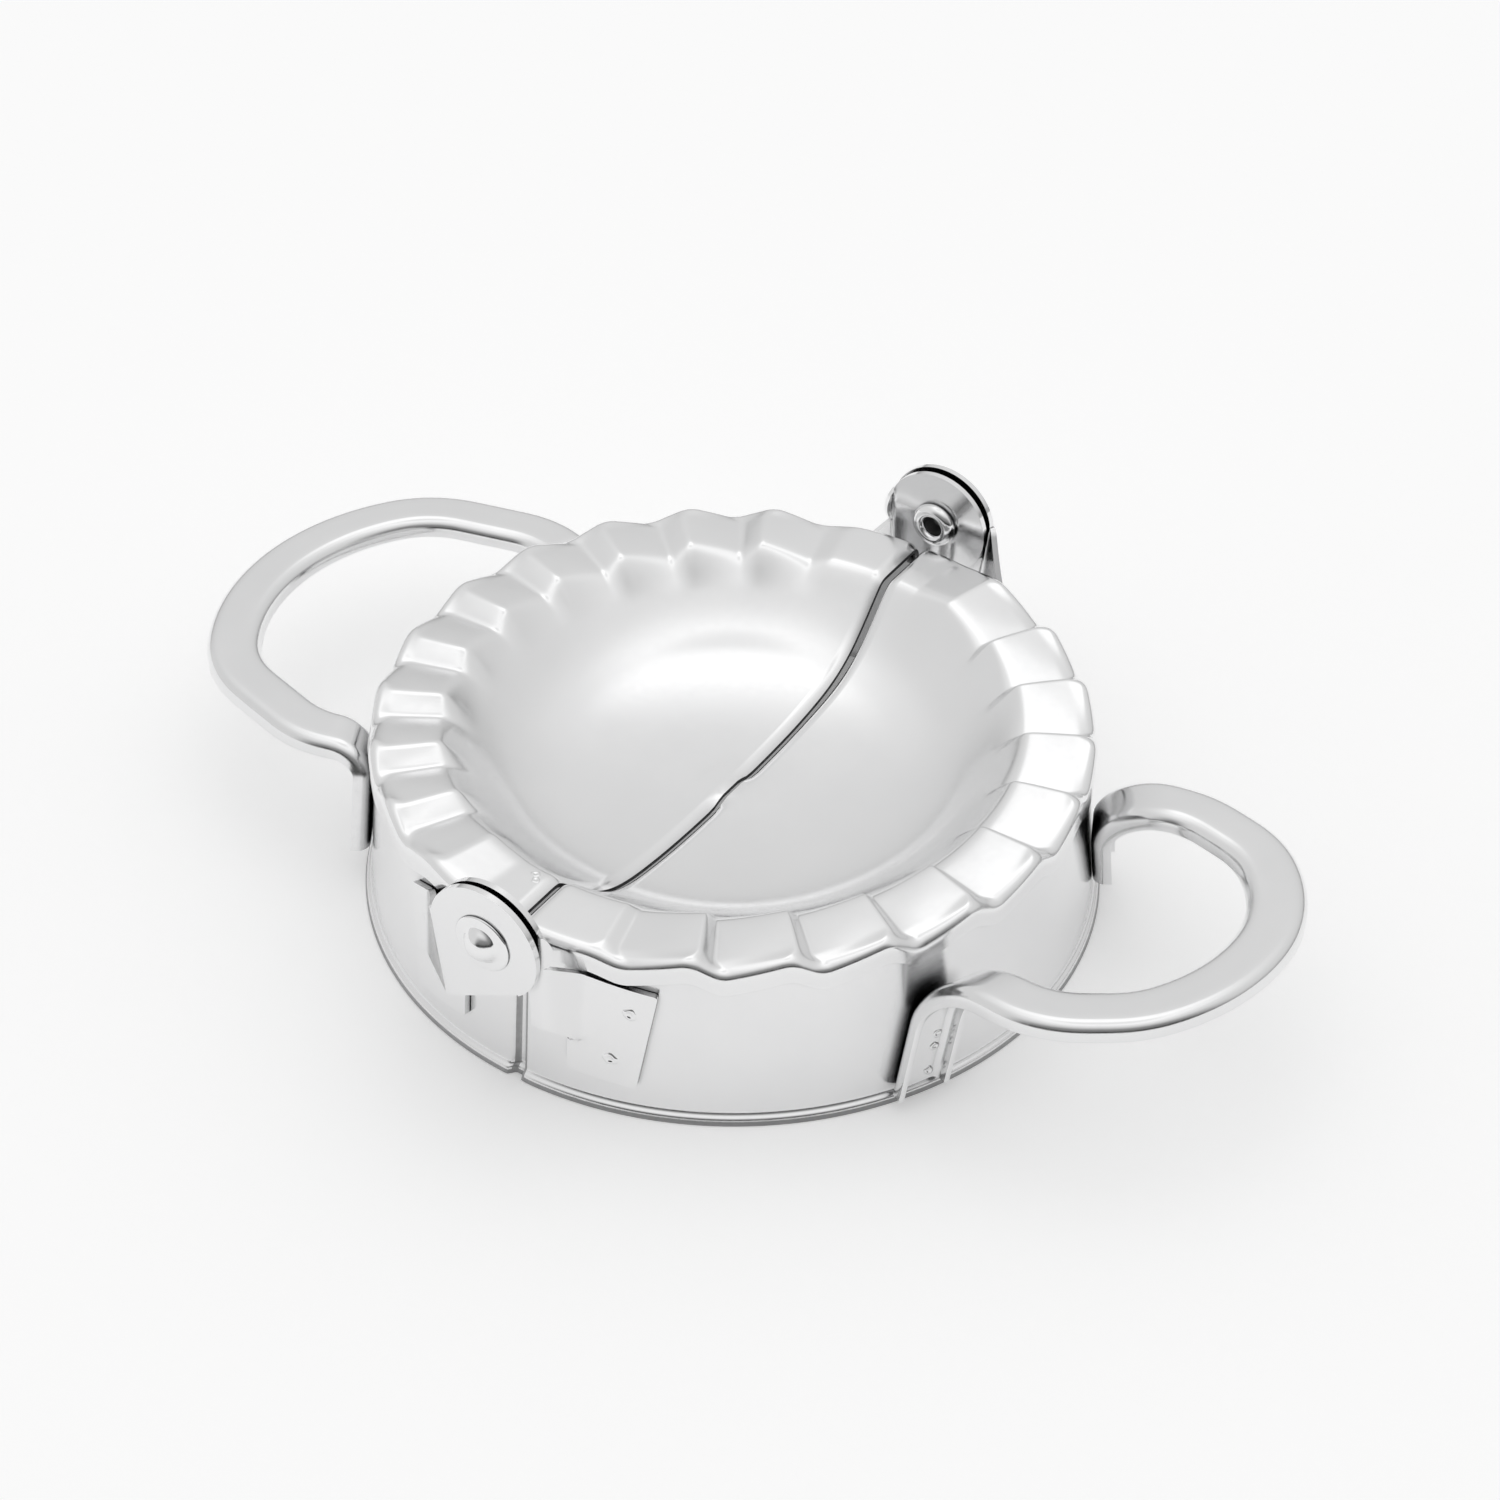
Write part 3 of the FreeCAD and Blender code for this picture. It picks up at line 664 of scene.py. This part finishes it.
def lifted(rows, side):
    """The rows of points once the far leg is raised and the loop is bent up and aside."""
    rise = handle_stance[side][3]
    near_lift, far_lift, skew = (math.tan(math.radians(v)) for v in handle_stance[side][4:])
    beyond = np.maximum(0.0, rows[..., 0] - loop_lift_start)
    far_share = smooth((rows[..., 1] + loop_blend_reach) / (2 * loop_blend_reach))
    near_rise = near_lift * beyond
    moved = rows.copy()
    moved[..., 1] += skew * beyond
    moved[..., 2] += near_rise + (rise + far_lift * beyond - near_rise) * far_share
    return moved


def leg_cut_level(rows, count, leg_bottom):
    """Rows of points with the straight leg's rows spread from a level cut at its foot."""
    top = rows[count]
    share = (top[:, 2] - leg_bottom) / (top[:, 2] - rows[0][:, 2])
    foot = top + (rows[0] - top) * share[:, None]
    leg = [foot + (top - foot) * (step / count) for step in range(count)]
    return np.concatenate([leg, rows[count:]])


def strip_outline():
    """Channel section with round folds and slightly rounded lips, as places across and down."""
    half = strip_width / 2
    inner = half - strip_thickness
    fold = strip_fold_radius
    inside = strip_inner_fold_radius
    lip = strip_lip_radius
    lip_height = strip_depth - lip
    side_height = strip_depth * strip_side_share
    outline = arc_points((-half + lip, lip_height), lip, 270, 180, 3)
    outline.append((-half, side_height))
    outline += arc_points((fold - half, fold), fold, 180, 90, 8)
    for share in (0.2, 0.4, 0.6, 0.8):
        outline.append(((fold - half) + (strip_width - 2 * fold) * share, 0.0))
    outline += arc_points((half - fold, fold), fold, 90, 0, 8)
    outline.append((half, side_height))
    outline += arc_points((half - lip, lip_height), lip, 0, -90, 3)
    outline += arc_points((inner + lip, lip_height), lip, 270, 180, 3)
    centre = strip_thickness + inside
    outline += arc_points((inner - inside, centre), inside, 0, 90, 4)
    outline += arc_points((inside - inner, centre), inside, 90, 180, 4)
    outline += arc_points((-inner - lip, lip_height), lip, 0, -90, 3)
    return outline


def handle(side):
    near_bends, far_bends = handle_bends[side]
    run, near_leg_steps = half_handle_run(side, near_bends, 0)
    far, far_leg_steps = half_handle_run(side, far_bends, handle_stance[side][3])
    for place, ahead, normal in reversed(far[:-1]):
        place = Vector((place.x, -place.y, place.z))
        back = Vector((-ahead.x, ahead.y, -ahead.z))
        run.append((place, back, Vector((normal.x, -normal.y, normal.z))))
    outline = strip_outline()
    controls = []
    for place, ahead, normal in run:
        across = ahead.cross(normal)
        controls.append([tuple(place + across * aside - normal * down) for aside, down in outline])
    controls = lifted(np.array(controls), side)
    controls = leg_cut_level(controls, near_leg_steps, near_bends[0])
    controls = leg_cut_level(controls[::-1], far_leg_steps, far_bends[0])[::-1]
    weights = spline_weights(len(controls), handle_samples)
    grid = np.einsum("ij,jkl->ikl", weights, controls)
    points = list(map(tuple, grid.reshape(-1, 3)))
    faces = swept_faces(handle_samples, len(outline))
    if side == "left":
        points = turned(points)
    make_piece(
        side + "_handle_strip", points, faces, side + "_half", [side + "_handle"],
        "handle_steel", cut_and_shade_faces=(len(faces) - 2, len(faces) - 1),
    )


for side in SIDES:
    handle(side)


# Hinge leaves

# Reaches are measured from the fold line, and tops, bottoms and heights from the table.
foot_outer_reach = 18.8
foot_lower_reach = 16.8
foot_step_reach = 7.9
foot_step_inset = 0.4
foot_inner_top = 20.9
foot_outer_top = 19.6
foot_step_height = 10.6
foot_step_bottom = 5.5
foot_bottom = 4.7
foot_rounding = 0.5
foot_split_height = 10.4
foot_split_run = 0.8
web_bottom = 14.0
inner_foot_bend = 10.0
inner_fold_reach = 7.2
inner_neck_top = 24.2
inner_neck_bottom = 13.9
inner_lobe_reach = 5.4
inner_ear_radius = 7.8
inner_ear_end = 374.5
outer_foot_bend = 15.2
outer_fold_reach = 6.3
outer_fold_top_reach = 8.1
outer_fold_top = 27.5
outer_fold_rise = 13.5
outer_fold_spread = 1.8
outer_ear_radius = 8.0
outer_ear_start = 128.5
outer_ear_end = 351.0
outer_tangent = (-4.9, 20.1)
ear_steps = 90
hole_radius = 2.05
hole_steps = 40
ear_bend_width = 0.5
foot_bend_width = 0.4
leaf_bevel = 0.13
leaf_bevel_angle = 50
# Shade is painted on the web between its two bends, and the painted shade starts and ends over
# these runs.
web_margin = 0.2
web_start_run = 0.8
web_end_run = 1.4
# The flat outline is cut across both ways before it is bent: axis, first and last cut, spacing.
leaf_cuts = ((0, -9.0, 19.5, 0.3), (2, 4.0, 36.0, 0.6))


def leaf_sheet(x, z, ear_face, fold_reach, foot_reach):
    """Place of the leaf's middle surface across the fold line, for a point of its outline."""
    radius = skirt_radius(z) + seat_clearance + leaf_thickness / 2
    cone = -math.sqrt(max(1.0, radius ** 2 - (x - seam_half_gap) ** 2))
    ear = -(ear_face - leaf_thickness / 2)
    foot = -math.sqrt(radius ** 2 - foot_reach ** 2)
    web = ear + (foot - ear) * (x - fold_reach) / (foot_reach - fold_reach)
    bent = soft_low(soft_high(ear, web, ear_bend_width), cone, foot_bend_width)
    if x <= fold_reach:
        return bent
    mix = smooth((z - foot_split_height) / foot_split_run)
    return cone * (1 - mix) + bent * mix


def leaf_piece(name, outline, ear_face, fold_reach, foot_reach, web_shade, body, node, flip):
    """A leaf cut flat with its rivet hole, bent over the skirt and given its thickness."""
    hole = []
    for step in range(hole_steps):
        turn = 2 * math.pi * step / hole_steps
        hole.append((hole_radius * math.cos(turn), pivot_height + hole_radius * math.sin(turn)))
    work = bmesh.new()
    edges = []
    for loop in (outline, hole):
        corners = [work.verts.new((x, 0.0, z)) for x, z in loop]
        for index, corner in enumerate(corners):
            edges.append(work.edges.new((corner, corners[(index + 1) % len(corners)])))
    bmesh.ops.triangle_fill(work, use_beauty=True, use_dissolve=False, edges=edges)
    for axis, place, last, spacing in leaf_cuts:
        while place < last:
            cut_at = [0.0, 0.0, 0.0]
            cut_at[axis] = place
            normal = [0.0, 0.0, 0.0]
            normal[axis] = 1.0
            everything = work.verts[:] + work.edges[:] + work.faces[:]
            bmesh.ops.bisect_plane(
                work, geom=everything, dist=1e-5, plane_co=cut_at, plane_no=normal,
            )
            place += spacing
    painted_dark = []
    for vert in work.verts:
        x, z = vert.co.x, vert.co.z
        reach = fold_reach(z)
        y = leaf_sheet(x, z, ear_face, reach, foot_reach)
        vert.co = Vector((flip[0] * x, flip[1] * y, z)) * MM
        # Painted shade on the web, between the ear's fold and the foot's bend.
        web = smooth((x - reach - web_margin) / web_start_run)
        web = web * smooth((foot_reach + web_margin - x) / web_end_run)
        web = web * smooth(z - foot_split_height)
        painted_dark.append(web_shade * float(web))
    bmesh.ops.recalc_face_normals(work, faces=work.faces)
    mesh = bpy.data.meshes.new(name)
    work.to_mesh(mesh)
    work.free()
    mesh.attributes.new("bent", "FLOAT", "POINT").data.foreach_set("value", painted_dark)
    mesh.polygons.foreach_set("use_smooth", [True] * len(mesh.polygons))
    piece = bpy.data.objects.new(name, mesh)
    bpy.context.collection.objects.link(piece)
    thick = piece.modifiers.new("sheet", "SOLIDIFY")
    thick.thickness = leaf_thickness * MM
    thick.offset = 0.0
    thick.use_even_offset = True
    edge = piece.modifiers.new("edge", "BEVEL")
    edge.width = leaf_bevel * MM
    edge.segments = 2
    edge.limit_method = "ANGLE"
    edge.angle_limit = math.radians(leaf_bevel_angle)
    edge.harden_normals = True
    piece.data.materials.append(materials["leaf_steel"])
    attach(piece, body)
    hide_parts(node)


def foot_outline(bend_reach, web_corner):
    """The foot's part of an outline, up to the corner of the web, which is left out."""
    corners = [
        (bend_reach, foot_inner_top),
        (foot_outer_reach, foot_outer_top),
        (foot_lower_reach, foot_bottom),
        (foot_step_reach, foot_step_bottom),
        (foot_step_reach, foot_step_height),
        (bend_reach - foot_step_inset, foot_step_height),
        web_corner,
    ]
    return [tuple(point) for point in rounded(corners, foot_rounding)[:-1]]


def ear_outline(radius, start, end):
    return arc_points((0, pivot_height), radius, start, end, ear_steps)


def inner_leaf_outline():
    lobe_angle = math.degrees(math.asin(inner_lobe_reach / inner_ear_radius))
    return [
        (inner_fold_reach, inner_neck_top),
        *foot_outline(inner_foot_bend, (inner_fold_reach, web_bottom)),
        (inner_fold_reach, inner_neck_bottom),
        (inner_lobe_reach, web_bottom),
        *ear_outline(inner_ear_radius, 90 - lobe_angle, inner_ear_end),
    ]


def outer_leaf_outline():
    return [
        (outer_fold_top_reach, outer_fold_top),
        *foot_outline(outer_foot_bend, (outer_fold_reach, web_bottom)),
        (outer_fold_reach, web_bottom),
        outer_tangent,
        *ear_outline(outer_ear_radius, outer_ear_start, outer_ear_end),
    ]


def inner_fold(z):
    return inner_fold_reach


def outer_fold(z):
    share = min(1.0, max(0.0, (z - web_bottom) / outer_fold_rise))
    return outer_fold_reach + share * outer_fold_spread


# Outline, ear's face, fold, reach of the foot's bend and share of painted shade on the web.
# Only the webs of the outer leaves look dark, so only they get the painted shade.
inner = (inner_leaf_outline(), inner_ear_face - ear_set_back, inner_fold, inner_foot_bend, 0.0)
outer = (outer_leaf_outline(), outer_ear_face, outer_fold, outer_foot_bend, 1.0)
leaf_piece("near_right_leaf", *inner, "right_half", "near_right_hinge_leaf", (1, 1))
leaf_piece("far_left_leaf", *inner, "left_half", "far_left_hinge_leaf", (-1, -1))
leaf_piece("near_left_leaf", *outer, "left_half", "near_left_hinge_leaf", (-1, 1))
leaf_piece("far_right_leaf", *outer, "right_half", "far_right_hinge_leaf", (1, -1))


# Hinge rivets

# Radius and distance from the outer ear's face, from the dome's crown down to the shank.
rivet_dome = (
    (0.0, 2.08), (0.55, 2.03), (1.1, 1.86), (1.6, 1.56), (2.05, 1.15), (2.35, 0.75), (2.6, 0.5),
    (3.4, 0.44), (3.85, 0.37), (4.0, 0.2), (3.9, 0.0), (2.0, 0.0),
)
# The same from the inner ear's face, from the shank round the flared tail and into its bore.
rivet_tail = (
    (2.0, 0.0), (3.1, 0.0), (3.35, -0.45), (3.1, -1.15), (2.45, -1.6), (1.75, -1.5),
    (1.4, -0.9), (1.3, 1.4), (0.0, 1.45),
)
rivet_rounding = 0.35
rivet_sharp = 40.0
rivet_steps = 72
bore_lip_radius = 1.42
rivet_play = 0.1


def rivet(name, node, head_gap, tail_gap, turn_over):
    head = 2 * leaf_thickness + ear_spacing + ear_set_back + head_gap
    back = inner_ear_face - ear_set_back - leaf_thickness
    corners = [(radius, head + out) for radius, out in rivet_dome]
    corners += [(radius, out - tail_gap) for radius, out in rivet_tail]
    outline = rounded(corners, rivet_rounding)
    points = []
    for step in range(rivet_steps):
        turn = 2 * math.pi * step / rivet_steps
        for radius, out in outline:
            x, y = radius * math.cos(turn), -(back + out)
            z = pivot_height + radius * math.sin(turn)
            points.append((-x, -y, z) if turn_over else (x, y, z))
    # The bore's faces take the darker second material: painted shade inside the hollow tail.
    bore = []
    for step in range(rivet_steps):
        for k, ((radius, out), (next_radius, _)) in enumerate(zip(outline, outline[1:])):
            if max(radius, next_radius) < bore_lip_radius and out < head:
                bore.append(step * (len(outline) - 1) + k)
    faces = spun_faces(rivet_steps, len(outline))
    make_piece(name, points, faces, "left_half", [node], "rivet_steel", rivet_sharp, bore)


rivet("near_rivet_body", "near_hinge_rivet", 0.0, rivet_play, False)
rivet("far_rivet_body", "far_hinge_rivet", rivet_play, 0.0, True)


# Spot welds

# Radius and height of a mark, from its middle over the ring and down into the sheet.
weld_profile = (
    (0.0, 0.02), (0.14, 0.015), (0.26, 0.04), (0.38, 0.1), (0.48, 0.13), (0.58, 0.11),
    (0.68, 0.05), (0.78, -0.02), (0.8, -0.12), (0.4, -0.14), (0.0, -0.14),
)
weld_steps = 36
weld_sharp = 50.0
weld_oval = 0.16
weld_bumps = 0.12
leaf_weld_size = 1.2
leg_weld_size = 0.85
rim_weld_size = 0.75
# Places on the near right foot, as x, -y and z.
foot_welds = ((15.5, 45.5, 16.4), (13.4, 46.9, 8.8))
leg_weld_heights = (1.3, 4.85, 6.7)
leg_weld_aside = 1.4
# Marks beside the near end of the seam, as x and y.
rim_spots = ((-2.4, -39.7), (-3.5, -40.6), (-3.1, -38.8), (-1.9, -41.2))
above_rim = 40.0


def weld_marks(name, seats, body, slot, size):
    """Small pressed rings, each at a place and square to a direction, in one piece."""
    points = []
    faces = []
    for number, (place, out) in enumerate(seats):
        out = Vector(out).normalized()
        side = out.cross(UP).normalized()
        top = side.cross(out)
        faces += spun_faces(weld_steps, len(weld_profile), len(points))
        for step in range(weld_steps):
            turn = 2 * math.pi * step / weld_steps
            # No mark is quite round, as hand-held electrodes leave them.
            reach_side = size * (1.0 + weld_oval * math.sin(turn * 2 + number))
            reach_top = size * (1.0 + weld_bumps * math.cos(turn * 3 + 2 * number))
            for radius, height in weld_profile:
                offset = side * (radius * reach_side * math.cos(turn))
                offset += top * (radius * reach_top * math.sin(turn))
                points.append(tuple(Vector(place) + offset + out * height * size))
    make_piece(name, points, faces, body, [], slot, weld_sharp)


def wall_seat(x, y, z):
    """A place on the outside of a sheet on the right skirt, and the direction out of it."""
    out = Vector((x, y, 0)).normalized()
    radius = skirt_radius(z) + seat_clearance + leaf_thickness
    return out * radius + Vector((seam_half_gap, 0, z)), out + UP * skirt_slope


def foot_seat(side, x, y, z):
    """The same on either half, for a place given as on the right one."""
    place, out = wall_seat(x, y, z)
    if side == "left":
        place.x, out.x = -place.x, -out.x
    return place, out


for side in reversed(SIDES):
    for end, along in (("near", -1), ("far", 1)):
        seats = [foot_seat(side, x, along * y, z) for x, y, z in foot_welds]
        name = end + "_" + side + "_leaf_welds"
        weld_marks(name, seats, side + "_half", "leaf_steel", leaf_weld_size)


def leg_weld_seats(side, end, bends):
    """Three spot welds inside the channel of one leg."""
    bottom, lean = bends[:2]
    seats = []
    for height in leg_weld_heights:
        z = bottom + height
        aside = (math.tan(math.radians(lean)) * height + leg_weld_aside) / skirt_radius(z)
        away = math.radians(handle_stance[side][2] - math.degrees(aside))
        seats.append(wall_seat(math.cos(away), end * math.sin(away), z))
    if side == "left":
        seats = [[Vector((-v.x, -v.y, v.z)) for v in seat] for seat in seats]
    return seats


for side in SIDES:
    near_bends, far_bends = handle_bends[side]
    seats = leg_weld_seats(side, -1, near_bends) + leg_weld_seats(side, 1, far_bends)
    weld_marks(side + "_leg_welds", seats, side + "_half", "handle_steel", leg_weld_size)


def rim_weld_seats(side, spots):
    """Places on top of a press plate and the directions out of it."""
    mesh = plates[side].data
    corners = [vert.co for vert in mesh.vertices]
    tree = BVHTree.FromPolygons(corners, [face.vertices[:] for face in mesh.polygons])
    seats = []
    for x, y in spots:
        place, out = tree.ray_cast(Vector((x, y, above_rim)) * MM, -UP)[:2]
        seats.append((place / MM, out if out.z > 0 else -out))
    return seats


rim_seats = rim_weld_seats("left", rim_spots)
weld_marks("left_rim_weld", rim_seats, "left_half", "plate_steel", rim_weld_size)


# Floor

floor_reach = 3.0
floor_tone = 0.93
floor_roughness = 0.9
# The floor gives off a little light of its own, so that it stays pale and keeps the shadow.
floor_lift = 0.2


def pale_floor():
    corners = [(-floor_reach, -floor_reach, 0), (floor_reach, -floor_reach, 0)]
    corners += [(-x, -y, 0) for x, y, _ in corners]
    mesh = bpy.data.meshes.new("floor")
    mesh.from_pydata(corners, [], [(0, 1, 2, 3)])
    floor = bpy.data.objects.new("floor", mesh)
    bpy.context.collection.objects.link(floor)
    material = bpy.data.materials.new("pale_floor")
    material.use_nodes = True
    tree = material.node_tree
    seen = add_node(tree, "LightPath")
    seen_or_mirrored = add_node(tree, "Math", {
        0: seen.outputs["Is Camera Ray"], 1: seen.outputs["Is Glossy Ray"],
    }, operation="ADD", use_clamp=True)
    lift = add_node(tree, "Math", {
        0: seen_or_mirrored.outputs["Value"], 1: floor_lift,
    }, operation="MULTIPLY")
    shader = tree.nodes["Principled BSDF"]
    shader.inputs["Base Color"].default_value = grey(floor_tone)
    shader.inputs["Roughness"].default_value = floor_roughness
    shader.inputs["Emission Color"].default_value = grey(1.0)
    tree.links.new(lift.outputs["Value"], shader.inputs["Emission Strength"])
    mesh.materials.append(material)


pale_floor()


# Light: a pale tent all round, darker in front, with a soft lamp overhead

# Brightness by the upward part of the direction, from 0 at the floor to 1 overhead.
tent_levels = (
    (0.0, 0.25), (0.06, 0.3), (0.14, 0.5), (0.3, 0.62), (0.62, 0.68),
    (0.8, 0.76), (0.9, 0.9), (0.96, 1.0), (0.985, 0.86), (1.0, 0.8),
)
front_levels = (
    (0.0, 0.12), (0.05, 0.03), (0.16, 0.05), (0.28, 0.17),
    (0.52, 0.26), (0.66, 0.5), (0.82, 0.74), (1.0, 0.8),
)
# Direction of each part of the light, and the closeness at which it starts and is full.
front_reach = ((0.562, -0.827, 0.0), 0.3, 0.8)
left_reach = ((-0.87, -0.49, 0.0), 0.6, 0.9)
lamp_reach = ((-0.209, 0.311, 0.927), 0.93, 0.995)
left_level = 0.66
lamp_level = 1.08
backdrop_level = 0.82
light_strength = 1.15


def level_ramp(tree, height, levels):
    """Brightness of the studio walls at a height."""
    ramp = add_node(tree, "ValToRGB", {"Fac": height})
    while len(ramp.color_ramp.elements) < len(levels):
        ramp.color_ramp.elements.new(0.5)
    for element, (position, level) in zip(ramp.color_ramp.elements, levels):
        element.position = position
        element.color = grey(level)
    return ramp.outputs["Color"]


def facing_share(tree, toward, direction, low, high):
    """Share from 0 to 1 of a direction's closeness to another."""
    facing = add_node(tree, "VectorMath", {0: toward, 1: direction}, operation="DOT_PRODUCT")
    return add_node(tree, "MapRange", {
        "Value": facing.outputs["Value"], "From Min": low, "From Max": high,
    }, interpolation_type="SMOOTHSTEP").outputs["Result"]


def studio_light():
    world = bpy.data.worlds.new("studio")
    bpy.context.scene.world = world
    world.use_nodes = True
    tree = world.node_tree
    toward = add_node(tree, "TexCoord").outputs["Generated"]
    height = add_node(tree, "SeparateXYZ", {"Vector": toward}).outputs["Z"]
    tent = level_ramp(tree, height, tent_levels)
    front = level_ramp(tree, height, front_levels)
    light = mixed(tree, facing_share(tree, toward, *front_reach), tent, front)
    light = mixed(tree, facing_share(tree, toward, *left_reach), light, grey(left_level))
    light = mixed(tree, facing_share(tree, toward, *lamp_reach), light, grey(lamp_level))
    seen = add_node(tree, "LightPath").outputs["Is Camera Ray"]
    light = mixed(tree, seen, light, grey(backdrop_level))
    sky = tree.nodes["Background"]
    tree.links.new(light, sky.inputs["Color"])
    sky.inputs["Strength"].default_value = light_strength


studio_light()


# Camera, as solved from the round rim in the picture

camera_azimuth = 34.19
camera_elevation = 40.36
camera_distance = 0.430
camera_target = (0, 0, 0.013)

azimuth = math.radians(camera_azimuth)
elevation = math.radians(camera_elevation)
back = Vector((
    math.sin(azimuth) * math.cos(elevation),
    -math.cos(azimuth) * math.cos(elevation),
    math.sin(elevation),
))
right = Vector((math.cos(azimuth), math.sin(azimuth), 0.0))
up = back.cross(right)
camera_data = bpy.data.cameras.new("camera")
camera_data.lens = 77.41
camera_data.shift_x = 0.01165
camera_data.shift_y = 0.02565
camera_data.clip_start = 0.01
camera = bpy.data.objects.new("camera", camera_data)
turn = Matrix((right, up, back)).transposed().to_4x4()
camera.matrix_world = Matrix.Translation(Vector(camera_target) + back * camera_distance) @ turn
bpy.context.collection.objects.link(camera)
bpy.context.scene.camera = camera
bpy.context.scene.view_settings.view_transform = "Standard"
